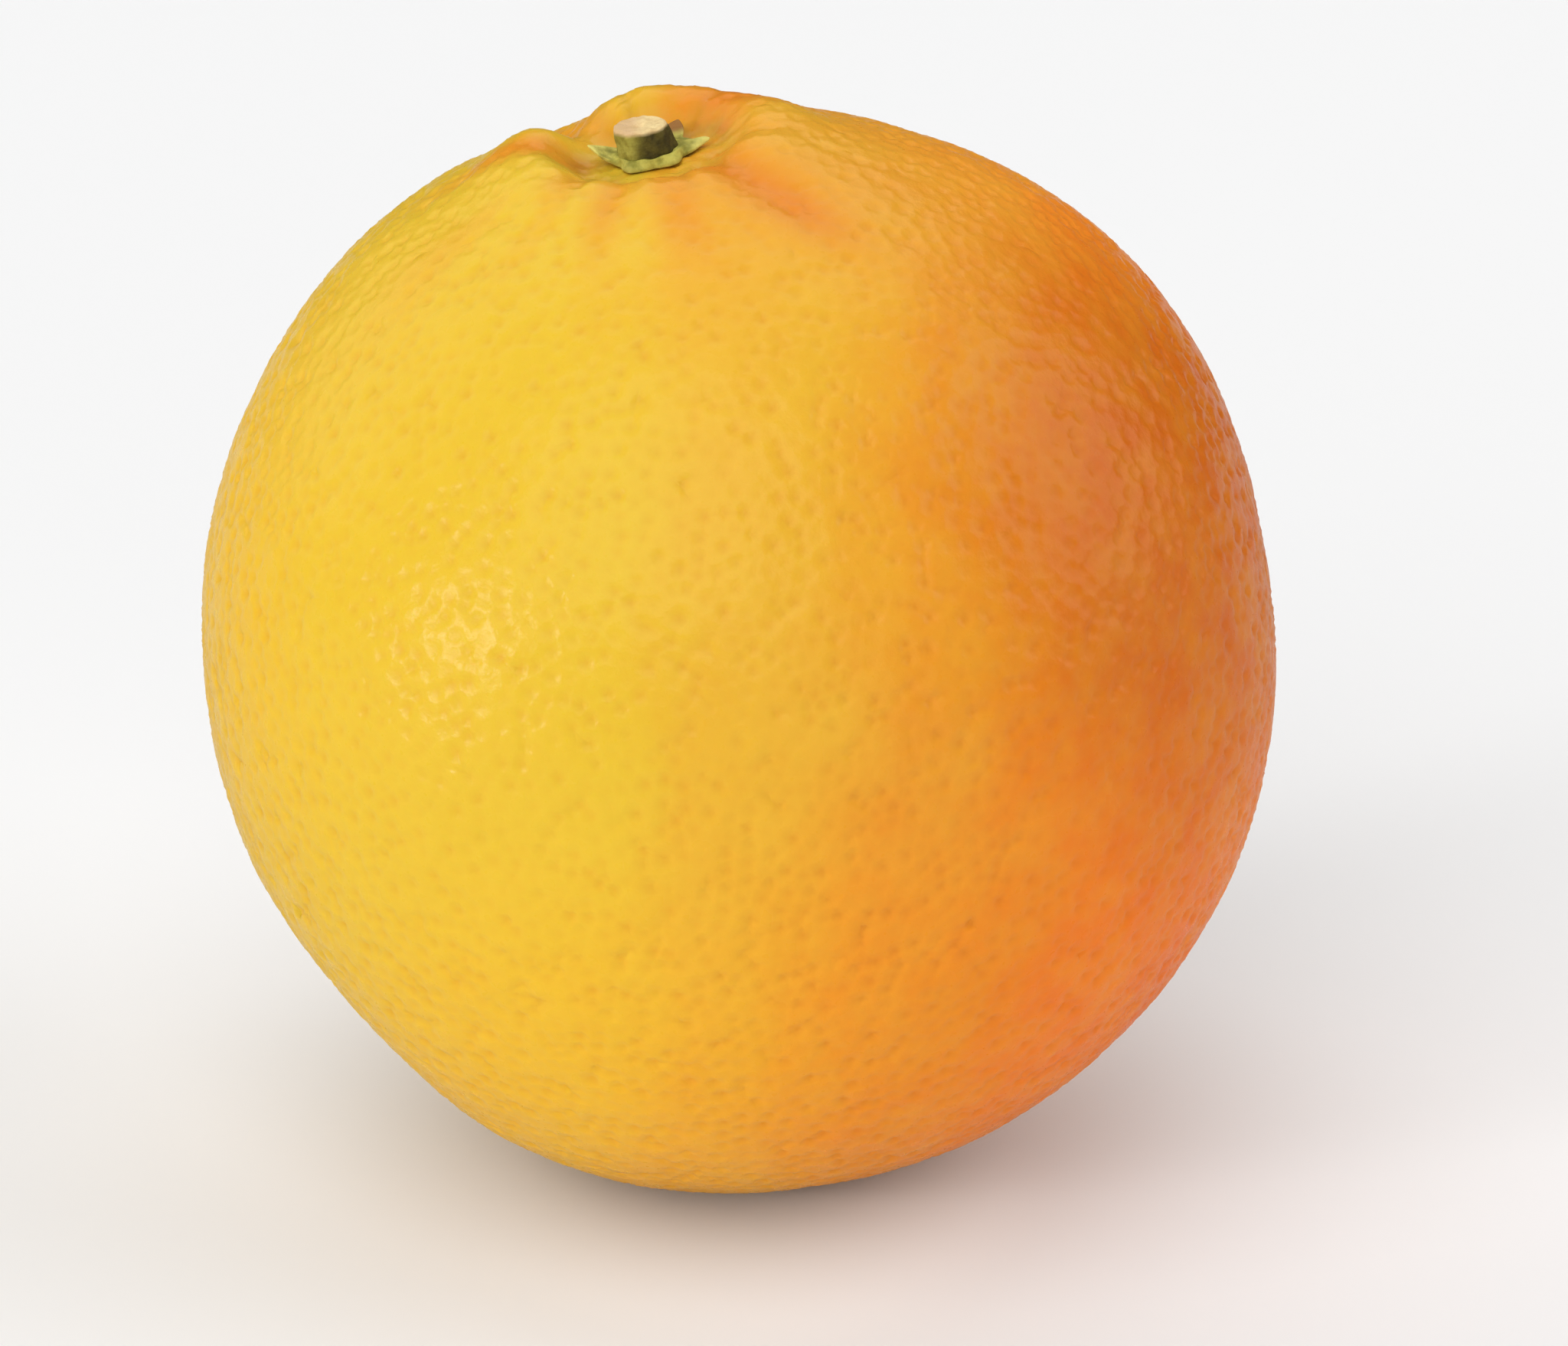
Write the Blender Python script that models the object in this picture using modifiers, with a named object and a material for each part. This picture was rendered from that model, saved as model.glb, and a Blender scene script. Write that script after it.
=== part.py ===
"""A whole sweet orange at rest, with the green calyx and the cut stem stub in the basin at its stem end.

Units are metres and +Z is up. The origin is the middle of the flat spot that the fruit rests on.
The fruit's own axis runs from its blossom end to its stem end. It leans to the left and a little to
the front, so the three pieces are modelled upright and hang on one tilted empty.
"""

import math

import bmesh
import bpy
from mathutils import Euler, Vector

MM = 0.001

# The fruit, measured from its own centre along and across its axis.
EQUATOR_RADIUS = 37.5 * MM
POLAR_RADIUS = 38.0 * MM
LEAN_LEFT = math.radians(9.4)
LEAN_FRONT = math.radians(3.7)
CENTRE = (0.4 * MM, 1.2 * MM, 37.6 * MM)  # of the fruit, so that the flat spot lies about the origin
FLAT_DEPTH = 20.0 * MM  # thickness of the block that trims the flat spot

# The stem end: a lobed collar round a basin. It stands highest at the back.
COLLAR_RADIUS = 8.6 * MM
COLLAR_WIDTH = 3.2 * MM
COLLAR_HEIGHT = 1.0 * MM
COLLAR_TILT = 0.5
COLLAR_HIGH_SIDE = math.radians(100)
BASIN_RADIUS = 6.0 * MM
BASIN_SLOPE = 1.4 * MM
BASIN_FLOOR = 36.2 * MM

# Furrows across the collar: (direction round the axis in degrees, 0 is right and 90 is the back;
# depth and half width in mm; how far they reach from the axis in mm).
FURROWS = (
    (-134, 1.4, 1.3, 10.0),
    (-106, 0.7, 1.4, 13.5),
    (-78, 0.5, 1.4, 15.0),
    (-47, 0.9, 2.1, 19.0),
    (-8, 0.6, 1.6, 12.0),
    (50, 0.6, 3.4, 16.0),
    (127, 2.4, 2.6, 21.0),
    (172, 0.7, 1.6, 12.0),
)

# The blossom end is a small scar in a shallow pit.
SCAR_RADIUS = 2.6 * MM
SCAR_DEPTH = 0.5 * MM

# Broad swellings and flats of a fruit that grew against its neighbours:
# (turn and rise of the direction in degrees, change of the radius as a share, spread in degrees).
BROAD_FORMS = (
    (5, 13, -0.010, 16),
    (17, 39, 0.023, 26),
    (43, 62, -0.008, 14),
    (156, 49, 0.029, 22),
    (173, 19, 0.011, 18),
    (-163, -39, -0.016, 18),
    (-133, -63, 0.020, 20),
    (-34, -57, 0.014, 26),
    (-11, -28, 0.010, 20),
    (75, -20, -0.012, 30),
)

# The calyx: a disc with five uneven lobes (turn in degrees, reach in mm) lying in the basin.
CALYX_LOBES = ((168, 4.4), (-118, 3.0), (-50, 2.9), (16, 4.4), (66, 5.2))
CALYX_NOTCH = 2.3 * MM
CALYX_LOBE_HALF_ANGLE = math.radians(36)
CALYX_THICKNESS = 0.9 * MM
CALYX_EDGE = 0.22 * MM
CALYX_POINTS = 90

# The stub of the stem, cut across by the picker.
STUB_RADIUS = 1.85 * MM
STUB_HEIGHT = 1.2 * MM
STUB_SHIFT = -0.1 * MM  # the stem doesn't leave the calyx quite at its middle
STUB_SIDES = 32

GAP = 0.3 * MM
ROUND_STEPS = 72
RING_STEPS = 60
STEM_END_CROWDING = 0.5  # how much closer the rings lie at the stem end than on average


def material(name, colour, roughness):
    """One plain finish for a piece."""
    made = bpy.data.materials.new(name)
    made.use_nodes = True
    shader = made.node_tree.nodes["Principled BSDF"]
    shader.inputs["Base Color"].default_value = (*colour, 1.0)
    shader.inputs["Roughness"].default_value = roughness
    shader.inputs["Metallic"].default_value = 0.0
    return made


def direction(turn, rise):
    """A unit vector from its turn round +Z and its rise above the horizon, in degrees."""
    turn, rise = math.radians(turn), math.radians(rise)
    flat = math.cos(rise)
    return Vector((flat * math.cos(turn), flat * math.sin(turn), math.sin(rise)))


def bell(x):
    """1 at 0, falling smoothly to nothing on both sides."""
    return math.exp(-x * x)


def step(x):
    """0 below 0, 1 above 1 and smooth in between."""
    x = min(1.0, max(0.0, x))
    return x * x * (3.0 - 2.0 * x)


def broad_share(way, forms):
    """How much the swellings and flats change the radius in this direction, as a share."""
    return sum(amount * bell(way.angle(middle) / spread) for middle, amount, spread in forms)


def furrow_depth(across, turn):
    """How deep the furrows are, at a distance from the axis and a turn round it."""
    depth = 0.0
    for furrow_turn, deepest, half_width, reach in FURROWS:
        apart = math.remainder(turn - math.radians(furrow_turn), 2 * math.pi)
        if abs(apart) < math.pi / 2:
            side = across * math.sin(apart) / (half_width * MM)
            open_end = step((across - 0.5 * BASIN_RADIUS) / (0.5 * BASIN_RADIUS))
            far_end = 1.0 - step((across - 0.4 * reach * MM) / (0.6 * reach * MM))
            depth += deepest * MM * bell(side) * open_end * far_end
    return depth


def rind_radius(way, forms):
    """Distance from the fruit's centre to its skin in this direction, both in the fruit's own frame."""
    level = math.hypot(way.x, way.y)
    body = 1.0 / math.hypot(level / EQUATOR_RADIUS, way.z / POLAR_RADIUS)
    body *= 1.0 + broad_share(way, forms)
    across = body * level
    if way.z < 0.0:
        return body - SCAR_DEPTH * bell(across / SCAR_RADIUS)
    turn = math.atan2(way.y, way.x)
    crest = COLLAR_HEIGHT * (1.0 + COLLAR_TILT * math.cos(turn - COLLAR_HIGH_SIDE))
    collar = crest * bell((across - COLLAR_RADIUS) / COLLAR_WIDTH)
    skin = body + collar - furrow_depth(across, turn)
    floor = BASIN_FLOOR / max(way.z, 0.5)
    return floor + (skin - floor) * step((across - BASIN_RADIUS + BASIN_SLOPE) / (2 * BASIN_SLOPE))


def make_fruit(parent, collection):
    """The fruit is one solid: a sphere whose points are moved out to the skin."""
    mesh = bpy.data.meshes.new("fruit")
    fruit = bpy.data.objects.new("fruit", mesh)
    collection.objects.link(fruit)
    fruit.parent = parent
    turned = parent.rotation_euler.to_matrix().inverted()
    forms = [
        (turned @ direction(turn, rise), amount, math.radians(spread))
        for turn, rise, amount, spread in BROAD_FORMS
    ]
    shape = bmesh.new()
    bmesh.ops.create_uvsphere(shape, u_segments=ROUND_STEPS, v_segments=RING_STEPS, radius=1.0)
    for vertex in shape.verts:
        polar = vertex.co.angle(Vector((0, 0, 1)))
        polar -= STEM_END_CROWDING * math.sin(polar)
        turn = math.atan2(vertex.co.y, vertex.co.x)
        way = direction(math.degrees(turn), 90 - math.degrees(polar))
        vertex.co = way * rind_radius(way, forms)
    shape.to_mesh(mesh)
    shape.free()
    mesh.shade_smooth()
    mesh.materials.append(material("orange_rind", (0.83, 0.36, 0.04), 0.42))
    return fruit


def trim_flat_spot(fruit, cutters):
    """Takes off the little that the fruit's weight presses flat where it rests."""
    bpy.ops.mesh.primitive_cube_add(size=1.0, location=(0, 0, -FLAT_DEPTH / 2))
    block = bpy.context.object
    block.name = "table_cutter"
    block.scale = (2 * EQUATOR_RADIUS, 2 * EQUATOR_RADIUS, FLAT_DEPTH)
    block.hide_render = True
    block.display_type = "WIRE"
    for held in list(block.users_collection):
        held.objects.unlink(block)
    cutters.objects.link(block)
    cut = fruit.modifiers.new("flat_spot", "BOOLEAN")
    cut.operation = "DIFFERENCE"
    cut.solver = "EXACT"
    cut.object = block


def calyx_reach(turn):
    """How far the calyx reaches from the axis at this turn round it."""
    reach = CALYX_NOTCH
    for lobe_turn, lobe_reach in CALYX_LOBES:
        apart = abs(math.remainder(turn - math.radians(lobe_turn), 2 * math.pi))
        side = max(0.0, 1.0 - apart / CALYX_LOBE_HALF_ANGLE)
        reach = max(reach, CALYX_NOTCH + (lobe_reach * MM - CALYX_NOTCH) * side)
    return reach


def make_calyx(parent, collection):
    """A flat outline of five pointed lobes with a soft edge, lying on the basin's floor."""
    outline = bpy.data.curves.new("calyx", "CURVE")
    outline.dimensions = "2D"
    outline.fill_mode = "BOTH"
    outline.extrude = CALYX_THICKNESS / 2 - CALYX_EDGE
    outline.bevel_depth = CALYX_EDGE
    outline.bevel_resolution = 1
    outline.offset = -CALYX_EDGE
    edge = outline.splines.new("POLY")
    edge.points.add(CALYX_POINTS - 1)
    edge.use_cyclic_u = True
    for i, point in enumerate(edge.points):
        turn = 2 * math.pi * i / CALYX_POINTS
        radius = calyx_reach(turn)
        point.co = (radius * math.cos(turn), radius * math.sin(turn), 0, 1)
    calyx = bpy.data.objects.new("calyx", outline)
    collection.objects.link(calyx)
    calyx.parent = parent
    calyx.location = (0, 0, BASIN_FLOOR + GAP + CALYX_THICKNESS / 2)
    outline.materials.append(material("calyx_green", (0.22, 0.25, 0.05), 0.6))
    return calyx


def make_stem_stub(parent, collection):
    """A short woody peg on the calyx, a little wider at its foot and broken at the edge of the cut."""
    foot = BASIN_FLOOR + 2 * GAP + CALYX_THICKNESS
    bpy.ops.mesh.primitive_cone_add(
        vertices=STUB_SIDES,
        radius1=1.1 * STUB_RADIUS,
        radius2=STUB_RADIUS,
        depth=STUB_HEIGHT,
        end_fill_type="NGON",
    )
    stub = bpy.context.object
    stub.name = "stem_stub"
    for held in list(stub.users_collection):
        held.objects.unlink(stub)
    collection.objects.link(stub)
    stub.parent = parent
    stub.location = (STUB_SHIFT, 0, foot + STUB_HEIGHT / 2)
    rim = stub.modifiers.new("worn_rim", "BEVEL")
    rim.width = 0.15 * STUB_RADIUS
    rim.segments = 2
    rim.limit_method = "ANGLE"
    stub.data.shade_smooth()
    stub.data.set_sharp_from_angle(angle=math.radians(40))
    stub.data.materials.append(material("cut_stem", (0.45, 0.38, 0.22), 0.75))
    return stub


def main():
    for old in list(bpy.data.objects):
        bpy.data.objects.remove(old)
    orange = bpy.data.collections.new("orange")
    cutters = bpy.data.collections.new("cutters")
    for made in (orange, cutters):
        bpy.context.scene.collection.children.link(made)
    axis = bpy.data.objects.new("fruit_axis", None)
    orange.objects.link(axis)
    axis.location = CENTRE
    axis.rotation_euler = Euler((LEAN_FRONT, -LEAN_LEFT, 0), "XYZ")
    fruit = make_fruit(axis, orange)
    trim_flat_spot(fruit, cutters)
    make_calyx(axis, orange)
    make_stem_stub(axis, orange)


main()
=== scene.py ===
# %% [markdown]
# # A whole sweet orange
#
# The fruit rests on a small flat spot, with its stem end up and leaning to the left. Three pieces
# make it: the fruit in its rind, the green calyx that is left of the flower, and the short stub of
# the cut stem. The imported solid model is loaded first. It gives every place and size, and it stays
# as it is.

# %% Load the solid model
import math
import random

import bmesh
import bpy
import numpy as np
from mathutils import Euler, Matrix, Vector, kdtree, noise


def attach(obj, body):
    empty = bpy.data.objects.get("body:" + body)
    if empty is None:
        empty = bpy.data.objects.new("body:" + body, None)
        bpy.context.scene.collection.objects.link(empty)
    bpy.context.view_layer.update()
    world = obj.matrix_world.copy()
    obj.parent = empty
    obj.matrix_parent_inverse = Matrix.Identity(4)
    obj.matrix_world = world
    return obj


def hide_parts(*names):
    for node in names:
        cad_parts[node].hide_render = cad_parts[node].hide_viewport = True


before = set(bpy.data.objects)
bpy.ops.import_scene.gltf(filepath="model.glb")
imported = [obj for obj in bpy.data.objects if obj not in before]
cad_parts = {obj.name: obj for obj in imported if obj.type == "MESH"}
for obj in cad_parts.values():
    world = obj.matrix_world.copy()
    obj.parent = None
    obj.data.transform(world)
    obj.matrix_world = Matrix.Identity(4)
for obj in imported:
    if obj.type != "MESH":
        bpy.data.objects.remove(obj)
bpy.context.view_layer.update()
print("solid pieces:", sorted(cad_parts))

# %% [markdown]
# ## The fruit's own frame
#
# A round fruit is easiest to shape upright about its own axis, from the blossom end below to the
# stem end above, in millimetres. One matrix then makes it metres, leans it and sets it over its
# flat spot. The centre and the lean are those of the solid model.

# %% The matrix from the upright fruit to its place
MM, MM_PER_METRE = 0.001, 1000.0
CENTRE = Vector((0.4, 1.2, 37.6))
LEAN = Euler((math.radians(3.7), math.radians(-9.4), 0.0)).to_matrix()
IN_PLACE = Matrix.Diagonal((MM, MM, MM, 1.0)) @ Matrix.Translation(CENTRE) @ LEAN.to_4x4()

axis_tip = IN_PLACE @ Vector((0, 0, 38))
print("the stem end is at", [round(1000 * c, 1) for c in axis_tip], "mm")

# %% [markdown]
# ## The skin's broad form
#
# A ball would look like a toy. A real orange is a ball with a story: it grew against its
# neighbours, so it has swellings and flats, and its rind is drawn up into a lobed collar round the
# stem, cut by furrows that run outwards. All of this is one rule that gives the skin's distance
# from the centre in every direction, with the same numbers as the solid model.

# %% Soft steps and bells
EQUATOR_RADIUS, POLAR_RADIUS = 37.5, 38.0


def bell(x):
    """1 at 0, falling smoothly to nothing on both sides."""
    return np.exp(-x * x)


def step(x):
    """0 below 0, 1 above 1 and smooth in between."""
    x = np.clip(x, 0.0, 1.0)
    return x * x * (3.0 - 2.0 * x)


def direction(turn, rise):
    """A unit vector from its turn round the upright and its rise above the horizon, in degrees."""
    turn, rise = math.radians(turn), math.radians(rise)
    flat = math.cos(rise)
    return Vector((flat * math.cos(turn), flat * math.sin(turn), math.sin(rise)))


def apart(turns, other):
    """The angle between turns and one other turn, from -pi to pi."""
    return (turns - other + math.pi) % (2 * math.pi) - math.pi


print("bell and step a quarter of the way:", bell(0.25).round(3), step(0.25))

# %% Swellings and flats: turn and rise of the direction, share of the radius, spread in degrees
BROAD_FORMS = (
    (5, 13, -0.010, 16),
    (17, 39, 0.023, 26),
    (43, 62, -0.008, 14),
    (156, 49, 0.029, 22),
    (173, 19, 0.011, 18),
    (-163, -39, -0.016, 18),
    (-133, -63, 0.020, 20),
    (-34, -57, 0.014, 26),
    (-11, -28, 0.010, 20),
    (75, -20, -0.012, 30),
)


def body_radius(ways):
    """The fruit's radius without its stem end, in each direction of its own frame."""
    level = np.hypot(ways[:, 0], ways[:, 1])
    radius = 1.0 / np.hypot(level / EQUATOR_RADIUS, ways[:, 2] / POLAR_RADIUS)
    share = np.ones(len(ways))
    for turn, rise, amount, spread in BROAD_FORMS:
        middle = np.array(LEAN.inverted() @ direction(turn, rise))
        angle = np.arccos(np.clip(ways @ middle, -1, 1))
        share += amount * bell(angle / math.radians(spread))
    return radius * share


print("swellings and flats:", len(BROAD_FORMS))

# %% The stem end: a collar round a basin, cut by furrows
COLLAR_RADIUS, COLLAR_WIDTH, COLLAR_HEIGHT = 8.6, 3.2, 1.0
COLLAR_TILT, COLLAR_HIGH_SIDE = 0.5, math.radians(100)
BASIN_RADIUS, BASIN_SLOPE, BASIN_FLOOR = 6.0, 1.4, 36.2
SCAR_DEPTH, SCAR_RADIUS = 0.5, 2.6
FURROW_FADE = (0.4, 0.6)  # where a furrow's depth starts to fade and over how much, of its reach
PAINTED_SHADE_FADE = (0.7, 0.5)  # the same for its orange, which runs on further
BROWN_FADE = (4.9, 1.2)  # the brown stays in the basin: from this distance, over so much, in mm
# Each furrow: turn in degrees; depth, half width and reach in mm; how orange, which is painted
# shade, and how brown.
FURROWS = (
    (-134, 1.4, 1.3, 10.0, 0.6, 1.0),
    (-106, 0.7, 1.4, 13.5, 0.65, 0.0),
    (-78, 0.5, 1.4, 15.0, 0.4, 0.0),
    (-47, 0.9, 2.1, 19.0, 1.0, 0.0),
    (-8, 0.6, 1.6, 12.0, 0.2, 0.0),
    (50, 0.6, 3.4, 16.0, 1.0, 0.1),
    (127, 2.4, 2.6, 21.0, 0.4, 0.0),
    (172, 0.7, 1.6, 12.0, 0.8, 1.0),
)


def risen(x, start, length):
    """0 up to start, 1 from start + length on, and smooth in between."""
    return step((x - start) / length)


def furrows_at(across, turns):
    """The furrows, by distance from the axis and turn: depth in mm, how orange (painted shade) and
    how brown.
    """
    depth, orange, brown = np.zeros((3, len(across)))
    for turn, deepest, half_width, reach, painted_shade_share, brown_share in FURROWS:
        away = apart(turns, math.radians(turn))
        near = np.where(np.abs(away) < math.pi / 2, step(2 * across / BASIN_RADIUS - 1), 0.0)
        off = across * np.sin(away) / half_width
        depth += deepest * near * bell(off) * (1 - risen(across / reach, *FURROW_FADE))
        # The furrow's orange is painted shade in it.
        orange += painted_shade_share * near * bell(off / 1.1) * (1 - risen(across / reach, *PAINTED_SHADE_FADE))
        brown += brown_share * near * bell(off) * (1 - risen(across, *BROWN_FADE))
    return depth, np.clip(orange, 0, 1), np.clip(brown, 0, 1)


def skin_radius(ways):
    """The skin's distance from the centre in each direction, in mm."""
    body = body_radius(ways)
    across = body * np.hypot(ways[:, 0], ways[:, 1])
    turns = np.arctan2(ways[:, 1], ways[:, 0])
    crest = COLLAR_HEIGHT * (1 + COLLAR_TILT * np.cos(turns - COLLAR_HIGH_SIDE))
    furrows, _, _ = furrows_at(across, turns)
    raised = body + crest * bell((across - COLLAR_RADIUS) / COLLAR_WIDTH) - furrows
    floor = BASIN_FLOOR / np.maximum(ways[:, 2], 0.5)  # level; the limit only keeps it finite
    wall = step((across - BASIN_RADIUS + BASIN_SLOPE) / (2 * BASIN_SLOPE))
    stem_end = floor + (raised - floor) * wall
    blossom_end = body - SCAR_DEPTH * bell(across / SCAR_RADIUS)
    return np.where(ways[:, 2] > 0, stem_end, blossom_end)


test = np.array([(0, 0, 1), (1, 0, 0), (0, 0, -1)], float)
print("radius at the stem, the side and the blossom end:", skin_radius(test).round(2), "mm")

# %% [markdown]
# ## The pitted rind
#
# The rind is full of oil glands, about 1.4 mm apart, and over each the skin sinks in a shallow
# pit. Bump in a material would leave the outline and the highlights too smooth, so the pits are
# real. One point is set for each gland, a skin of triangles is stretched over all the points, and
# every triangle is divided in nine. So each pit has a low point, a ring of slopes and a rim that
# it shares with its neighbours, at the least cost in triangles. The points start on a spiral that
# spreads them evenly, and chance moves each one a little, so that no row or ring shows.

# %% One point per oil gland
GLANDS = 10800
GLAND_JITTER = 0.34
SMOOTHING_ROUNDS = 2
chance = random.Random(7)


def to_unit(shape):
    """Puts every point back on the unit ball."""
    for vert in shape.verts:
        vert.co.normalize()


def scattered_ball(count):
    """A unit ball of triangles whose corners are spread evenly but not in rows."""
    shape = bmesh.new()
    spacing = math.sqrt(4 * math.pi / count)
    golden = math.pi * (3 - math.sqrt(5))
    for i in range(count):
        height = 1 - (2 * i + 1) / count
        flat = math.sqrt(1 - height * height)
        way = Vector((flat * math.cos(golden * i), flat * math.sin(golden * i), height))
        moved = Vector([chance.gauss(0, GLAND_JITTER * spacing) for _ in range(3)])
        shape.verts.new((way + moved).normalized())
    bmesh.ops.convex_hull(shape, input=shape.verts)
    for _ in range(SMOOTHING_ROUNDS):
        bmesh.ops.smooth_vert(
            shape, verts=shape.verts, factor=0.5, use_axis_x=True, use_axis_y=True, use_axis_z=True
        )
        to_unit(shape)
    return shape


ball = scattered_ball(GLANDS)
glands = np.array([vert.co for vert in ball.verts])
bmesh.ops.subdivide_edges(ball, edges=ball.edges, cuts=2, use_grid_fill=True)
to_unit(ball)
print("glands:", len(glands), "points:", len(ball.verts), "triangles:", len(ball.faces))

# %% How far each point lies in its gland's pit
PIT_RADIUS = 0.76
gland_size = np.array([chance.uniform(0.25, 1.15) for _ in glands])
gland_tree = kdtree.KDTree(len(glands))
for i, gland in enumerate(glands):
    gland_tree.insert(gland, i)
gland_tree.balance()


def pit_share(way):
    """0 on the rim and up to about 1 at the bottom of the deepest pits, and which gland it is."""
    _, nearest, gap = gland_tree.find(way)
    slope = max(0.0, 1 - (gap * EQUATOR_RADIUS / PIT_RADIUS) ** 2)
    return gland_size[nearest] * slope * slope, nearest


ways = np.array([vert.co for vert in ball.verts])
found = [pit_share(vert.co) for vert in ball.verts]
pits = np.array([share for share, _ in found])
print("mean pit:", pits.mean().round(2), "deepest:", pits.max().round(2))

# %% [markdown]
# ### Unevenness between the pits and the whole form
#
# Between the size of a pit and the size of the fruit, real rind still undulates: soft bumps a few
# millimetres wide, and finer creases that gather round the stem. Noise in the solid makes both,
# because it has no seam or pole on a ball.

# %% Undulation and the creases round the stem
PIT_DEPTH = 0.30
UNDULATIONS = ((14.0, 0.16), (5.0, 0.07), (2.6, 0.03))  # size and height in mm
CREASES = 17
CREASE_DEPTH, CREASE_WIDTH = (0.08, 0.3), (0.25, 0.5)  # least and most, in mm
CREASE_START, CREASE_END = (3.6, 1.5), (6.0, 6.0)  # distance from the axis and how gradual, in mm


def undulation(place):
    """How far the skin stands out or in here, in mm."""
    return sum(high * noise.noise(place / size) for size, high in UNDULATIONS)


def creases_near_stem(across, turns):
    """Fine radial creases in the wall of the basin, dying out on the collar."""
    depth = np.zeros(len(across))
    for _ in range(CREASES):
        turn = chance.uniform(-math.pi, math.pi)
        deepest = chance.uniform(*CREASE_DEPTH)
        width = chance.uniform(*CREASE_WIDTH)
        away = apart(turns, turn)
        line = bell(across * np.sin(away) / width)
        depth += np.where(np.abs(away) < 1.5, deepest * line, 0.0)
    return depth * risen(across, *CREASE_START) * (1 - risen(across, *CREASE_END))


radius = skin_radius(ways)
across = radius * np.hypot(ways[:, 0], ways[:, 1])
turns = np.arctan2(ways[:, 1], ways[:, 0])
above = ways[:, 2] > 0
creases = np.where(above, creases_near_stem(across, turns), 0.0)
waves = np.array([undulation(Vector(way) * EQUATOR_RADIUS) for way in ways])
radius += waves - creases - PIT_DEPTH * pits
print("undulation from", waves.min().round(2), "to", waves.max().round(2), "mm")

# %% Put the skin in place and press it flat where it rests
for vert, way, reach in zip(ball.verts, ways, radius):
    vert.co = way * reach
bmesh.ops.transform(ball, matrix=IN_PLACE, verts=ball.verts)
pressed = 0
for vert in ball.verts:
    if vert.co.z < 0:
        vert.co.z = 0
        pressed += 1
print("points pressed flat:", pressed)

# %% Values on the skin that its finish will read
def on_points(mesh, name, values):
    """Stores one number per point, for a material's Attribute node."""
    attribute = mesh.attributes.new(name, "FLOAT", "POINT")
    attribute.data.foreach_set("value", values.astype(np.float32))


def finished(shape, name, smooth=True):
    """A mesh object at the origin from a bmesh, linked to the scene."""
    mesh = bpy.data.meshes.new(name)
    shape.to_mesh(mesh)
    shape.free()
    if smooth:
        mesh.shade_smooth()
    piece = bpy.data.objects.new(name, mesh)
    bpy.context.scene.collection.objects.link(piece)
    return piece


rind = finished(ball, "pitted_rind")
gland_tint = np.array([chance.random() for _ in glands])
on_points(rind.data, "pit", pits)
on_points(rind.data, "gland_tint", gland_tint[[nearest for _, nearest in found]])
print("rind triangles:", len(rind.data.polygons))

# %% Values round the stem end: furrows and their painted shade, creases, streaks drawn out from the stem, and the crest's painted highlight
STREAK_TURNS, STREAK_LENGTH = 3.0, 14.0  # how closely they lie round the axis; length in mm
STREAK_REACH, STREAK_FADE = 26.0, 18.0
STREAK_MEAN, STREAK_SWING, MORE_ON_THE_RIGHT = 0.35, 1.3, 0.45
# Where the painted highlight on the collar's crest lies: its distance from the axis and its width,
# in mm.
CREST_RADIUS, CREST_WIDTH = 8.0, 3.5
BROWNEST_CREASE = 0.9  # a crease this deep, in mm, is brown all through


def streak(reach, turn):
    """Noise that changes fast round the axis and slowly away from it."""
    round_axis = STREAK_TURNS * math.cos(turn), STREAK_TURNS * math.sin(turn)
    return noise.noise(Vector((*round_axis, reach / STREAK_LENGTH)))


# The furrow values place orange painted shade in the furrows.
_, orange, brown = furrows_at(across, turns)
streaks = np.array([streak(*spot) for spot in zip(across, turns)])
drawn = STREAK_MEAN + MORE_ON_THE_RIGHT * np.cos(turns) + STREAK_SWING * streaks
drawn = np.clip(drawn, 0, 1) * step((STREAK_REACH - across) / STREAK_FADE)
# A painted highlight on the collar's crest, kept out of the furrows and the brown creases.
crest = bell((across - CREST_RADIUS) / CREST_WIDTH) * (1 - orange) * (1 - brown)
for name, values in (
    ("furrow", orange),
    ("crease", np.clip(brown + creases / BROWNEST_CREASE, 0, 1)),
    ("drawn", drawn),
    ("crest", crest),
):
    on_points(rind.data, name, np.where(above, values, 0.0))
    print(name, "mean where it shows:", values[above].mean().round(3))

# %% [markdown]
# ## The calyx
#
# The calyx is a thick leathery disc with five short pointed lobes, pressed into the basin. A
# profile from its middle to its rim is spun into a button, which closes it above and below in one
# move. Then each point's distance from the axis is drawn out or in to make the lobes, and chance
# curls and wrinkles them.

# %% Spin the button
CALYX_FLOOR = BASIN_FLOOR + 0.05
# Share of the way out and height in mm, from the underside's middle round to the top's middle.
CALYX_PROFILE = (
    (0.0, 0.10), (0.3, 0.08), (0.55, 0.04), (0.75, 0.02), (0.9, 0.01), (0.98, 0.06), (1.0, 0.16),
    (0.98, 0.25), (0.91, 0.33), (0.80, 0.42), (0.70, 0.52), (0.61, 0.64), (0.54, 0.72),
    (0.48, 0.72), (0.42, 0.62), (0.2, 0.60), (0.0, 0.60),
)
CALYX_STEPS = 120


def spun(profile, steps):
    """A closed body of revolution about the upright, from a profile that starts and ends on it."""
    shape = bmesh.new()
    verts = [shape.verts.new((out, 0, high)) for out, high in profile]
    edges = [shape.edges.new(pair) for pair in zip(verts, verts[1:])]
    bmesh.ops.spin(
        shape, geom=verts + edges, cent=(0, 0, 0), axis=(0, 0, 1), angle=2 * math.pi, steps=steps,
        use_merge=True,
    )
    bmesh.ops.remove_doubles(shape, verts=shape.verts, dist=1e-5)
    bmesh.ops.recalc_face_normals(shape, faces=shape.faces)
    return shape


button = spun(CALYX_PROFILE, CALYX_STEPS)
print("button:", len(button.verts), "points")

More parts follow.
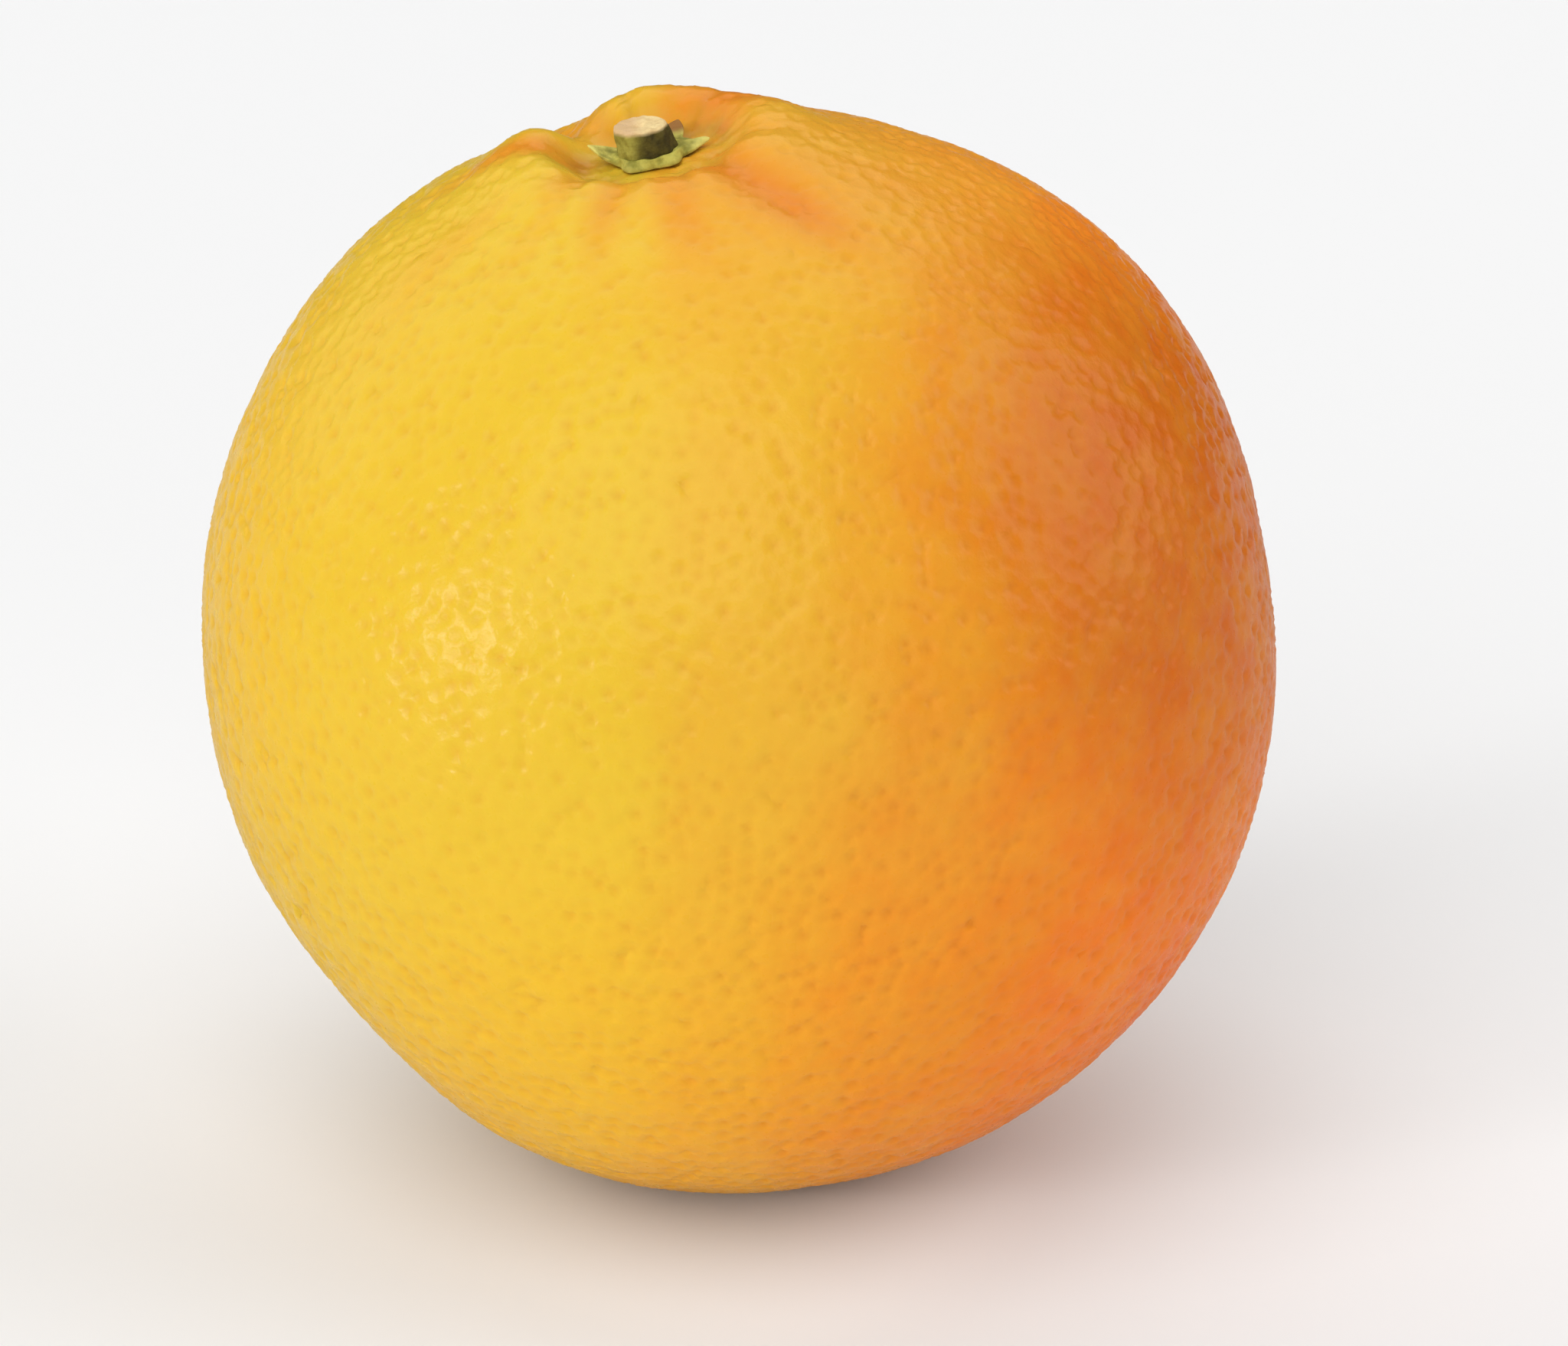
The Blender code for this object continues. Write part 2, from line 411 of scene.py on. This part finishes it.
# %% Draw out the lobes, then curl and wrinkle them
# Each lobe: its turn in degrees; how far its tip reaches and how much it lifts, in mm.
CALYX_LOBES = (
    (168, 4.4, 1.3),
    (-118, 3.0, 0.0),
    (-50, 2.9, 0.0),
    (16, 4.4, 0.3),
    (66, 5.2, 0.9),
)
CALYX_NOTCH = 2.25
DISC_SHARE, DISC_RADIUS = 0.5, 2.2  # this share of the profile is the disc; the rest is the lobes
LOBE_HALF_ANGLE = math.radians(36)
LOBE_POINT = 1.2  # above 1 the sides of a lobe are hollow, and its tip is sharp
RIB_WIDTH = 0.16
CALYX_TOP = 0.3  # only the skin above this height has ribs and wrinkles
RIB_HEIGHT, WRINKLE_HEIGHT, RIPPLE_HEIGHT, RIPPLES = 0.14, 0.12, 0.05, 11
RAGGEDNESS = 0.05  # of the rim, as a share


def lobe_at(turn):
    """How far the calyx reaches at this turn, how much it lifts, and how near a midrib it is."""
    reach, lift, rib = CALYX_NOTCH, 0.0, 0.0
    for lobe_turn, lobe_tip, tip_lift in CALYX_LOBES:
        away = abs(apart(turn, math.radians(lobe_turn)))
        side = max(0.0, 1 - away / LOBE_HALF_ANGLE)
        reach = max(reach, CALYX_NOTCH + (lobe_tip - CALYX_NOTCH) * side**LOBE_POINT)
        lift += tip_lift * side
        rib = max(rib, float(bell(away / RIB_WIDTH)))
    return reach, lift, rib


for vert in button.verts:
    out, turn = math.hypot(vert.co.x, vert.co.y), math.atan2(vert.co.y, vert.co.x)
    reach, lift, rib = lobe_at(turn)
    rim = max(0.0, out - DISC_SHARE) / (1 - DISC_SHARE)
    stretched = min(out, DISC_SHARE) / DISC_SHARE * DISC_RADIUS + rim * (reach - DISC_RADIUS)
    if rim > 0:
        round_rim = Vector((math.cos(turn), math.sin(turn), 0)) * 4.0
        stretched *= 1 + RAGGEDNESS * noise.noise(round_rim)
    high = vert.co.z + rim * rim * lift
    if vert.co.z > CALYX_TOP:
        high += RIB_HEIGHT * rib * rim + WRINKLE_HEIGHT * noise.noise(vert.co * 7.0)
        high += RIPPLE_HEIGHT * math.sin(RIPPLES * turn) * rim
    vert.co = stretched * math.cos(turn), stretched * math.sin(turn), CALYX_FLOOR + high
bmesh.ops.transform(button, matrix=IN_PLACE, verts=button.verts)
calyx = finished(button, "five_lobed_calyx")
soften = calyx.modifiers.new("soften", "SUBSURF")
soften.levels = soften.render_levels = 1
print("calyx faces:", len(calyx.data.polygons))

# %% [markdown]
# ## The stem stub
#
# The picker's cut leaves a short woody peg. Its side is ribbed bark, and its end shows pale wood
# round a small sunken pith. A spun profile gives the peg with its rings. Then sines and noise make
# the ribs and roughen the side and the cut, and the whole peg leans a little.

# %% Spin and roughen the stub
STUB_FOOT = CALYX_FLOOR + 0.5
STUB_SHIFT = -0.1
# Distance from the axis and height in mm, from the foot's middle round to the cut's middle.
STUB_PROFILE = (
    (0.0, 0.0), (1.2, 0.0), (1.98, 0.02), (2.05, 0.2), (1.98, 0.5), (1.92, 0.85), (1.88, 1.3),
    (1.85, 1.75), (1.80, 2.00), (1.68, 2.10), (1.50, 2.10), (1.28, 2.06), (1.06, 2.05),
    (0.84, 2.08), (0.56, 2.04), (0.36, 1.96), (0.20, 1.86), (0.0, 1.84),
)
STUB_STEPS = 72
CUT_START, CUT_BLEND = 1.91, 0.1  # the height where bark turns to wood, and over how much
PITH_RADIUS = 0.4
RIBS, RIB_RELIEF, RIB_LOSS_ON_CUT = 9, 0.035, 0.6
UNEVENNESS, ROUGHNESS = 0.07, 0.10  # share of the radius; height in mm
STUB_LEAN = -0.12
CUT_SLOPE = -0.05

peg = spun(STUB_PROFILE, STUB_STEPS)
cut = []
for vert in peg.verts:
    out, turn = math.hypot(vert.co.x, vert.co.y), math.atan2(vert.co.y, vert.co.x)
    on_cut = 1.0 if out <= PITH_RADIUS else float(risen(vert.co.z, CUT_START, CUT_BLEND))
    cut.append(on_cut if vert.co.z > 1.0 else 0.0)
    wider = 1 + RIB_RELIEF * math.sin(RIBS * turn + 1.3) * (1 - RIB_LOSS_ON_CUT * on_cut)
    wider += UNEVENNESS * noise.noise(vert.co * 1.7 + Vector((5, 1, 0)))
    vert.co.x, vert.co.y = vert.co.x * wider, vert.co.y * wider
    vert.co.z += ROUGHNESS * noise.noise(vert.co * 2.3) * min(1.0, vert.co.z)
    vert.co.z += CUT_SLOPE * vert.co.x * on_cut
    vert.co += Vector((STUB_SHIFT + STUB_LEAN * vert.co.z, 0, STUB_FOOT))
bmesh.ops.transform(peg, matrix=IN_PLACE, verts=peg.verts)
stub = finished(peg, "cut_stem_stub")
on_points(stub.data, "cut", np.array(cut))
soften = stub.modifiers.new("soften", "SUBSURF")
soften.levels = soften.render_levels = 1
print("stub faces:", len(stub.data.polygons))

# %% [markdown]
# ## Helpers for the finishes
#
# A finish is a tree of nodes that ends in one Principled shader. Small helpers add each kind of
# node with its settings and join its sockets, so that a tree reads from top to bottom like a
# recipe.

# %% Add a node and join it up
def add(tree, kind, inputs=None, **settings):
    """A node of this kind. An input is a value, or the socket of another node that feeds it."""
    made = tree.nodes.new(kind)
    for name, value in settings.items():
        setattr(made, name, value)
    for key, value in (inputs or {}).items():
        if isinstance(value, bpy.types.NodeSocket):
            tree.links.new(value, made.inputs[key])
        else:
            made.inputs[key].default_value = value
    return made


def maths(tree, operation, *values):
    """The result of a Math node."""
    return add(tree, "ShaderNodeMath", dict(enumerate(values)), operation=operation).outputs[0]


def vectors(tree, operation, *values, result="Vector"):
    """The result of a Vector Math node, which is a vector, or a number when result is Value."""
    inputs = dict(enumerate(values))
    return add(tree, "ShaderNodeVectorMath", inputs, operation=operation).outputs[result]


def in_millimetres(tree, middle):
    """The place on a piece in mm, measured from this middle, which is given in mm too."""
    place = add(tree, "ShaderNodeTexCoord").outputs["Object"]
    inputs = {"Vector": place, "Location": -middle, "Scale": (MM_PER_METRE,) * 3}
    return add(tree, "ShaderNodeMapping", inputs).outputs["Vector"]


def span(tree, value, low, high):
    """0 where the value is low, 1 where it is high, and smooth in between."""
    inputs = {"Value": value, "From Min": low, "From Max": high}
    made = add(tree, "ShaderNodeMapRange", inputs, interpolation_type="SMOOTHSTEP")
    return made.outputs["Result"]


# A Mix node holds sockets for numbers, vectors and colours. These are the ones for colours.
COLOUR_MIX_INPUTS, COLOUR_MIX_OUTPUT = (0, 6, 7), 2


def blend(tree, share, first, second, how="MIX"):
    """A mix of two colours."""
    made = add(tree, "ShaderNodeMix", data_type="RGBA", blend_type=how)
    for number, value in zip(COLOUR_MIX_INPUTS, (share, first, second)):
        if isinstance(value, bpy.types.NodeSocket):
            tree.links.new(value, made.inputs[number])
        else:
            is_share = isinstance(value, float)
            made.inputs[number].default_value = value if is_share else (*value, 1.0)
    return made.outputs[COLOUR_MIX_OUTPUT]


def stored(tree, name):
    """The number that each point of the mesh holds under this name."""
    return add(tree, "ShaderNodeAttribute", attribute_name=name).outputs["Fac"]


def principled(name, **constants):
    """A new material and its Principled shader, with the values that are the same all over it."""
    made = bpy.data.materials.new(name)
    made.use_nodes = True
    shader = made.node_tree.nodes["Principled BSDF"]
    for key, value in constants.items():
        shader.inputs[key.replace("_", " ")].default_value = value
    return made, shader


def finish_with(tree, shader, tone, roughness, grain):
    """Joins what changes over the surface to the shader: colour, roughness and relief."""
    for name, value in (("Base Color", tone), ("Roughness", roughness), ("Normal", grain)):
        tree.links.new(value, shader.inputs[name])


print("helpers ready")

# %% [markdown]
# ### Two effects that all three finishes share
#
# Plant skin is never one colour: patches of a second shade drift over it. It is never quite smooth
# either. Both effects are node groups, built once and used with other values on the rind, the
# calyx and the stub.

# %% Build the two groups
def new_group(name, inputs, output, output_kind):
    """An empty node group, the sockets of what it is given, and the node for its result."""
    group = bpy.data.node_groups.new(name, "ShaderNodeTree")
    new_socket = group.interface.new_socket
    for label, value in inputs.items():
        given = new_socket(name=label, in_out="INPUT", socket_type="NodeSocketFloat")
        given.default_value = value
    new_socket(name=output, in_out="OUTPUT", socket_type=output_kind)
    entry, result = group.nodes.new("NodeGroupInput"), group.nodes.new("NodeGroupOutput")
    return group, entry.outputs, result


def patches_group():
    """Drifting patches: a mask from 0 to 1, from soft noise in the object's own space."""
    inputs = {"Size in mm": 5.0, "Stretch": 1.0, "Sharpness": 0.5, "Seed": 0.0}
    group, given, result = new_group("drifting_patches", inputs, "Mask", "NodeSocketFloat")
    place = add(group, "ShaderNodeTexCoord").outputs["Object"]
    squeeze = maths(group, "DIVIDE", 1.0, given["Stretch"])
    scales = add(group, "ShaderNodeCombineXYZ", {"X": 1.0, "Y": 1.0, "Z": squeeze}).outputs[0]
    inputs = {
        "Vector": vectors(group, "MULTIPLY", place, scales),
        "W": given["Seed"],
        "Scale": maths(group, "DIVIDE", MM_PER_METRE, given["Size in mm"]),
        "Detail": 3.0,
        "Roughness": 0.55,
    }
    soft = add(group, "ShaderNodeTexNoise", inputs, noise_dimensions="4D").outputs["Fac"]
    # The noise stays near 0.5. The sharper the patches, the narrower the band that becomes 0 to 1.
    half = maths(group, "MULTIPLY", maths(group, "SUBTRACT", 1.0, given["Sharpness"]), 0.28)
    low, high = maths(group, "SUBTRACT", 0.48, half), maths(group, "ADD", 0.52, half)
    group.links.new(span(group, soft, low, high), result.inputs["Mask"])
    return group


def skin_grain_group():
    """Fine relief: small cells and specks too small for the mesh."""
    inputs = {"Cell size in mm": 0.5, "Height in mm": 0.01}
    group, given, result = new_group("skin_grain", inputs, "Normal", "NodeSocketVector")
    place = add(group, "ShaderNodeTexCoord").outputs["Object"]
    scale = maths(group, "DIVIDE", MM_PER_METRE, given["Cell size in mm"])
    cells = add(group, "ShaderNodeTexVoronoi", {"Vector": place, "Scale": scale})
    scale = maths(group, "MULTIPLY", scale, 2.1)  # about two specks across a cell
    specks = add(group, "ShaderNodeTexNoise", {"Vector": place, "Scale": scale, "Detail": 2.0})
    relief = maths(group, "ADD", cells.outputs["Distance"], specks.outputs["Fac"])
    metres = maths(group, "DIVIDE", given["Height in mm"], MM_PER_METRE)
    bump = add(group, "ShaderNodeBump", {"Strength": 1.0, "Distance": metres, "Height": relief})
    group.links.new(bump.outputs["Normal"], result.inputs["Normal"])
    return group


PATCHES, SKIN_GRAIN = patches_group(), skin_grain_group()


def patches(tree, size, stretch=1.0, sharpness=0.5, seed=0.0):
    """The patches group in a material: the mask of patches about this many mm across."""
    inputs = {"Size in mm": size, "Stretch": stretch, "Sharpness": sharpness, "Seed": seed}
    return add(tree, "ShaderNodeGroup", inputs, node_tree=PATCHES).outputs["Mask"]


def skin_grain(tree, cell, high):
    """The grain group in a material: a normal for cells of this size and height in mm."""
    inputs = {"Cell size in mm": cell, "Height in mm": high}
    return add(tree, "ShaderNodeGroup", inputs, node_tree=SKIN_GRAIN).outputs["Normal"]


print("groups:", [group.name for group in bpy.data.node_groups])

# %% [markdown]
# ## The rind's finish
#
# The rind runs from a warm yellow on one side to a deep orange on the other. This blush is partly
# the fruit's own ripening colour and partly painted light: the yellow side is where the key light
# falls. The finish follows it with a ramp along one direction, and lets patches push it to and fro.
# Then more is laid over it: a darker, redder painted shade high on the right, painted light low at
# the front and on the shoulder at the right back, amber streaks drawn out from the stem, a painted
# highlight on the collar's crest, and orange painted shade in its furrows. Oil glands show through
# as darker dots at the bottom of the pits, the basin is greenish, and its creases are brown. A thin
# natural wax gives the soft sheen.

# %% The blush, partly painted light, and its patches
# From yellow on the left to deep orange on the right: partly the rind's own colour and partly
# painted light, because the yellow side is where the key light falls.
RIPE_AND_LIT_LEFT = (0.82, 0.490, 0.020)
RIPE_AND_LIT_YELLOW = (0.80, 0.520, 0.031)
RIPE_AND_LIT_GOLD = (0.81, 0.445, 0.031)
RIPE_AMBER = (0.82, 0.308, 0.021)
RIPE_ORANGE = (0.85, 0.220, 0.012)
DEEP_ORANGE = (0.81, 0.178, 0.004)
RIM_ORANGE = (0.92, 0.235, 0.006)
# Where each tone sits from the left side (0) to the right side (1).
BLUSH_AND_PAINTED_LIGHT = (
    (0.02, RIPE_AND_LIT_LEFT),
    (0.16, RIPE_AND_LIT_YELLOW),
    (0.36, RIPE_AND_LIT_YELLOW),
    (0.50, RIPE_AND_LIT_GOLD),
    (0.66, RIPE_AMBER),
    (0.80, RIPE_ORANGE),
    (0.91, DEEP_ORANGE),
    (0.99, RIM_ORANGE),
)
BLUSH_WAY = (1, 0, -0.08)  # from the yellow side to the orange side
BLUSH_REACH = 38.0
DRIFT_PUSH, LONG_DRIFT_PUSH = 4.0, 2.5  # how far the patches push the blush to and fro, in mm

rind_finish, shader = principled(
    "waxy_orange_rind", IOR=1.45, Specular_IOR_Level=0.22, Subsurface_Weight=0.12,
    Subsurface_Radius=(1.0, 0.35, 0.1), Subsurface_Scale=0.0012,
)
tree = rind_finish.node_tree
centred = in_millimetres(tree, CENTRE)
along = vectors(tree, "DOT_PRODUCT", centred, BLUSH_WAY, result="Value")
drift = maths(tree, "SUBTRACT", patches(tree, 16.0, seed=2.0, sharpness=0.2), 0.5)
long_drift = patches(tree, 5.0, stretch=3.5, seed=9.0, sharpness=0.2)
long_drift = maths(tree, "SUBTRACT", long_drift, 0.5)
pushed = maths(tree, "MULTIPLY_ADD", drift, DRIFT_PUSH, along)
pushed = maths(tree, "MULTIPLY_ADD", long_drift, LONG_DRIFT_PUSH, pushed)
inputs = {"Value": pushed, "From Min": -BLUSH_REACH, "From Max": BLUSH_REACH}
blush_with_painted_light = add(tree, "ShaderNodeMapRange", inputs).outputs["Result"]
ramp = add(tree, "ShaderNodeValToRGB", {"Fac": blush_with_painted_light})
ramp.color_ramp.interpolation = "EASE"
for _ in BLUSH_AND_PAINTED_LIGHT[2:]:
    ramp.color_ramp.elements.new(0.5)
for element, (where, tone) in zip(ramp.color_ramp.elements, BLUSH_AND_PAINTED_LIGHT):
    element.position = where
    element.color = (*tone, 1.0)
skin = ramp.outputs["Color"]
print("blush stops:", len(ramp.color_ramp.elements))

# %% Painted shade high on the right, and painted light low at the front and on the right shoulder
# Painted shade: a darker, redder tone where the skin faces high to the right, away from the key
# light.
PAINTED_SHADE_RIGHT = (0.62, 0.125, 0.003)
# Painted light: a factor that brightens and warms the skin low at the front.
PAINTED_LIGHT_LOW_FRONT = (1.16, 0.96, 0.60)
# Painted light: a factor that brightens the shoulder at the right back.
PAINTED_LIGHT_SHOULDER = (1.18, 1.17, 1.45)
RIGHT_SHADE_SHARE = 0.85
EDGE_DRIFT = 0.08
outwards = vectors(tree, "NORMALIZE", centred)


def facing(turn, rise, low, high):
    """0 to 1 as the skin's cosine to this direction goes from low to high; its edge drifts."""
    cosine = vectors(tree, "DOT_PRODUCT", outwards, direction(turn, rise), result="Value")
    return span(tree, maths(tree, "MULTIPLY_ADD", drift, EDGE_DRIFT, cosine), low, high)


# Painted shade high on the right.
right_shade_mask = maths(tree, "MULTIPLY", facing(-22, 22, 0.70, 1.0), RIGHT_SHADE_SHARE)
skin = blend(tree, right_shade_mask, skin, PAINTED_SHADE_RIGHT)
# Painted light low at the front.
skin = blend(tree, facing(-58, -61, 0.18, 0.95), skin, PAINTED_LIGHT_LOW_FRONT, "MULTIPLY")
# Painted light on the shoulder at the right back.
skin = blend(tree, facing(30, 54, 0.80, 0.98), skin, PAINTED_LIGHT_SHOULDER, "MULTIPLY")
print("rind nodes so far:", len(tree.nodes))

# %% [markdown]
# ### From the glands to the scar
#
# The values stored on the points say where each tone goes, so that colour and shape always agree.
# One last mix is a studio aid. A fruit this bright would stain the floor round it, so the light
# that it throws back is made paler: Light Path tells when a ray comes from a dull surface such as
# the floor.

# %% Glands, furrows, the stem end and the scar
# The first orange is painted shade in the furrows and also the real colour of the gland dots.
GLAND_AND_FURROW_SHADE_ORANGE = (0.78, 0.195, 0.008)
DRAWN_AMBER = (0.83, 0.33, 0.020)
PAINTED_HIGHLIGHT_YELLOW = (0.82, 0.55, 0.040)
LAND_TINT = (0.90, 0.60, 0.05)
STEM_GREEN = (0.58, 0.43, 0.035)
CREASE_BROWN = (0.46, 0.18, 0.010)
SCAR_BROWN = (0.28, 0.13, 0.04)
PALE_BOUNCE = (0.72, 0.60, 0.50)
BOUNCE_SHARE = 0.6

# Where the basin and the scar lie: by the distance from the axis and the height along it, in mm.
upright = tuple(LEAN @ Vector((0, 0, 1)))
up = vectors(tree, "DOT_PRODUCT", centred, upright, result="Value")
on_axis = vectors(tree, "MULTIPLY", upright, up)
off_axis = vectors(tree, "LENGTH", vectors(tree, "SUBTRACT", centred, on_axis), result="Value")
near_stem = maths(tree, "MULTIPLY", span(tree, off_axis, 8.5, 4.5), span(tree, up, 10.0, 20.0))
near_stem = maths(tree, "MULTIPLY", near_stem, patches(tree, 2.5, seed=1.0))
near_scar = maths(tree, "MULTIPLY", span(tree, off_axis, 2.8, 1.2), span(tree, up, -10.0, -20.0))

pit = stored(tree, "pit")
tint = maths(tree, "MULTIPLY_ADD", stored(tree, "gland_tint"), 0.14, 0.06)
gland_dark = maths(tree, "MULTIPLY", pit, tint)
# Each layer over the blush and its painted light, in this order: where it lies, its share there, its
# tone. The crest's yellow is a painted highlight, and the furrows' orange is painted shade.
for where, share, tone in (
    (patches(tree, 3.2, seed=5.0, sharpness=0.3), 0.14, LAND_TINT),
    (gland_dark, 1.0, GLAND_AND_FURROW_SHADE_ORANGE),
    (stored(tree, "drawn"), 0.80, DRAWN_AMBER),
    (stored(tree, "crest"), 0.35, PAINTED_HIGHLIGHT_YELLOW),
    (stored(tree, "furrow"), 0.75, GLAND_AND_FURROW_SHADE_ORANGE),
    (near_stem, 0.50, STEM_GREEN),
    (stored(tree, "crease"), 0.85, CREASE_BROWN),
    (near_scar, 1.0, SCAR_BROWN),
):
    skin = blend(tree, maths(tree, "MULTIPLY", where, share), skin, tone)

from_dull = add(tree, "ShaderNodeLightPath").outputs["Is Diffuse Ray"]
skin = blend(tree, maths(tree, "MULTIPLY", from_dull, BOUNCE_SHARE), skin, PALE_BOUNCE)
waxy = maths(tree, "MULTIPLY_ADD", pit, 0.14, 0.27)
finish_with(tree, shader, skin, waxy, skin_grain(tree, 0.45, 0.012))
print("rind nodes:", len(tree.nodes))

# %% [markdown]
# ## The calyx's finish
#
# The calyx dries from its tips inwards. The middle is still a dull green, paler where it is
# rubbed. The tips have gone to straw, and the one at the back is dry and brown.

# %% Green in the middle, straw and brown at the tips
DULL_GREEN, RUBBED_GREEN = (0.25, 0.23, 0.030), (0.56, 0.50, 0.09)
STRAW, DRY_BROWN = (0.80, 0.70, 0.17), (0.32, 0.14, 0.03)

calyx_finish, shader = principled("drying_green_calyx", IOR=1.45, Specular_IOR_Level=0.25)
tree = calyx_finish.node_tree
calyx_middle = IN_PLACE @ Vector((0, 0, CALYX_FLOOR))
centred = in_millimetres(tree, MM_PER_METRE * calyx_middle)
green = blend(tree, patches(tree, 1.1, seed=3.0), DULL_GREEN, RUBBED_GREEN)
backwards = add(tree, "ShaderNodeSeparateXYZ", {0: centred}).outputs["Y"]
dry = blend(tree, span(tree, backwards, 1.8, 3.4), STRAW, DRY_BROWN)
out = vectors(tree, "LENGTH", centred, result="Value")
ragged_out = maths(tree, "MULTIPLY_ADD", patches(tree, 1.6, seed=8.0), 0.9, out)
tone = blend(tree, span(tree, ragged_out, 2.9, 4.5), green, dry)
matt = maths(tree, "MULTIPLY_ADD", patches(tree, 0.6, seed=4.0), 0.2, 0.5)
finish_with(tree, shader, tone, matt, skin_grain(tree, 0.25, 0.03))
print("calyx nodes:", len(tree.nodes))

# %% [markdown]
# ## The stub's finish
#
# The side keeps its bark, which is green on the left and painted almost black on the right: painted
# shade on the side away from the key light. The cut end is dry wood, cream on the right and tan on
# the left, where the cut is older.

# %% Green bark with painted shade on its right, and a pale cut
BARK_GREENS = (0.26, 0.22, 0.030), (0.42, 0.38, 0.07)
# The dark bark tones are painted shade for the stub's right side.
PAINTED_SHADE_BARK_TONES = (0.045, 0.036, 0.007), (0.10, 0.08, 0.014)
OLD_CUT, FRESH_CUT, CUT_STAIN = (0.74, 0.50, 0.27), (0.93, 0.73, 0.36), (0.68, 0.45, 0.20)

stub_finish, shader = principled("cut_green_stem", IOR=1.45, Specular_IOR_Level=0.2)
tree = stub_finish.node_tree
stub_middle = IN_PLACE @ Vector((STUB_SHIFT, 0, STUB_FOOT + 1))
centred = in_millimetres(tree, MM_PER_METRE * stub_middle)
sideways = add(tree, "ShaderNodeSeparateXYZ", {0: centred}).outputs["X"]
to_the_right = span(tree, sideways, -1.2, 0.2)
green_bark = blend(tree, patches(tree, 0.8, seed=12.0), *BARK_GREENS)
painted_shade_bark = blend(tree, patches(tree, 0.8, seed=13.0), *PAINTED_SHADE_BARK_TONES)
# The bark goes from green to painted shade towards the right.
bark = blend(tree, to_the_right, green_bark, painted_shade_bark)
wood = blend(tree, to_the_right, OLD_CUT, FRESH_CUT)
stained = maths(tree, "MULTIPLY", patches(tree, 0.7, seed=15.0), 0.6)
tone = blend(tree, stored(tree, "cut"), bark, blend(tree, stained, wood, CUT_STAIN))
matt = maths(tree, "MULTIPLY_ADD", patches(tree, 0.5, seed=14.0), 0.2, 0.6)
finish_with(tree, shader, tone, matt, skin_grain(tree, 0.18, 0.03))
print("stub nodes:", len(tree.nodes))

# %% [markdown]
# ## Each piece in its place
#
# Nothing on an orange moves, so every piece rides on the one body. Each stands for its solid,
# which is then not shown.

# %% Ride and replace
for piece, finish, node, slot in (
    (rind, rind_finish, "fruit", "orange_rind"),
    (calyx, calyx_finish, "calyx", "calyx_green"),
    (stub, stub_finish, "stem_stub", "cut_stem"),
):
    piece.data.materials.append(finish)
    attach(piece, "root")
    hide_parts(node)
    print(piece.name, "stands for", node)

# %% [markdown]
# ## Floor, light and camera
#
# The fruit stands on a pale floor in a bright studio. The camera looks down a little, from far
# away with a long lens, so that the fruit keeps its form. The floor has one trick: a mirror-like
# ray, which the waxy rind sends out at its rim, meets a darker floor, and so the rim keeps its
# colour and isn't veiled in white.

# %% The floor
FLOOR_SIZE = 6.0
PAPER, PAPER_IN_MIRRORS = (0.92, 0.92, 0.92), (0.6, 0.6, 0.6)

floor_shape = bmesh.new()
bmesh.ops.create_grid(floor_shape, x_segments=1, y_segments=1, size=FLOOR_SIZE / 2)
floor = finished(floor_shape, "pale_floor", smooth=False)
floor_finish, shader = principled("pale_paper", Roughness=0.9, Specular_IOR_Level=0.1)
tree = floor_finish.node_tree
mirrored = add(tree, "ShaderNodeLightPath").outputs["Is Glossy Ray"]
tree.links.new(blend(tree, mirrored, PAPER, PAPER_IN_MIRRORS), shader.inputs["Base Color"])
floor.data.materials.append(floor_finish)
print("floor:", FLOOR_SIZE, "m across")

# %% [markdown]
# ### Soft suns
#
# A sun lamp with a wide angle is like a softbox so far away that it lights the floor evenly, so
# one kind of lamp is enough. The key stands at the left and front. Four weaker fills, from the
# right, the left, above and low in front, soften its shadow and carry the form round. One small
# low lamp draws the highlight on the left, where the pits break it into sparks. The surround adds
# only a trace of light.

# %% The light
SURROUND = 0.04

world = bpy.data.worlds.new("dim_surround")
world.use_nodes = True
background = world.node_tree.nodes["Background"]
background.inputs["Color"].default_value = (1.0, 1.0, 1.0, 1.0)
background.inputs["Strength"].default_value = SURROUND
bpy.context.scene.world = world


def soft_sun(name, turn, rise, width, brightness):
    """A sun from this turn and rise. At brightness 1 it makes white paper that faces it white."""
    lamp = bpy.data.lights.new(name, "SUN")
    lamp.angle, lamp.energy = math.radians(width), math.pi * brightness
    made = bpy.data.objects.new(name, lamp)
    made.rotation_euler = direction(turn, rise).to_track_quat("Z", "Y").to_euler()
    bpy.context.scene.collection.objects.link(made)


# Turn, rise and width in degrees, and brightness.
soft_sun("key", -113, 46, 60, 0.53)
soft_sun("fill_right", 0, 30, 50, 0.35)
soft_sun("fill_left", 152, 30, 50, 0.15)
soft_sun("fill_top", 90, 65, 60, 0.31)
soft_sun("fill_front", -75, 11, 40, 0.09)
soft_sun("low_glint", -150, 11, 12, 0.25)
bpy.context.scene.view_settings.view_transform = "Standard"
print("lights:", [light.name for light in bpy.data.lights])

# %% The camera
CAMERA_RISE = 20.0
CAMERA_DISTANCE = 400.0
LENS = 130.8
AIM_RIGHT, AIM_DOWN = 3.1, 2.04  # the fruit stands a little left of and above the middle

back = direction(-90, CAMERA_RISE)
picture_up = direction(90, 90 - CAMERA_RISE)
aim = CENTRE + Vector((AIM_RIGHT, 0, 0)) - AIM_DOWN * picture_up
lens = bpy.data.cameras.new("long_lens")
lens.lens, lens.sensor_width = LENS, 36.0
lens.clip_start, lens.clip_end = 0.01, 20.0
camera = bpy.data.objects.new("camera", lens)
camera.location = (aim + back * CAMERA_DISTANCE) * MM
camera.rotation_euler = back.to_track_quat("Z", "Y").to_euler()
bpy.context.scene.collection.objects.link(camera)
bpy.context.scene.camera = camera
print("camera at", [round(c, 3) for c in camera.location])
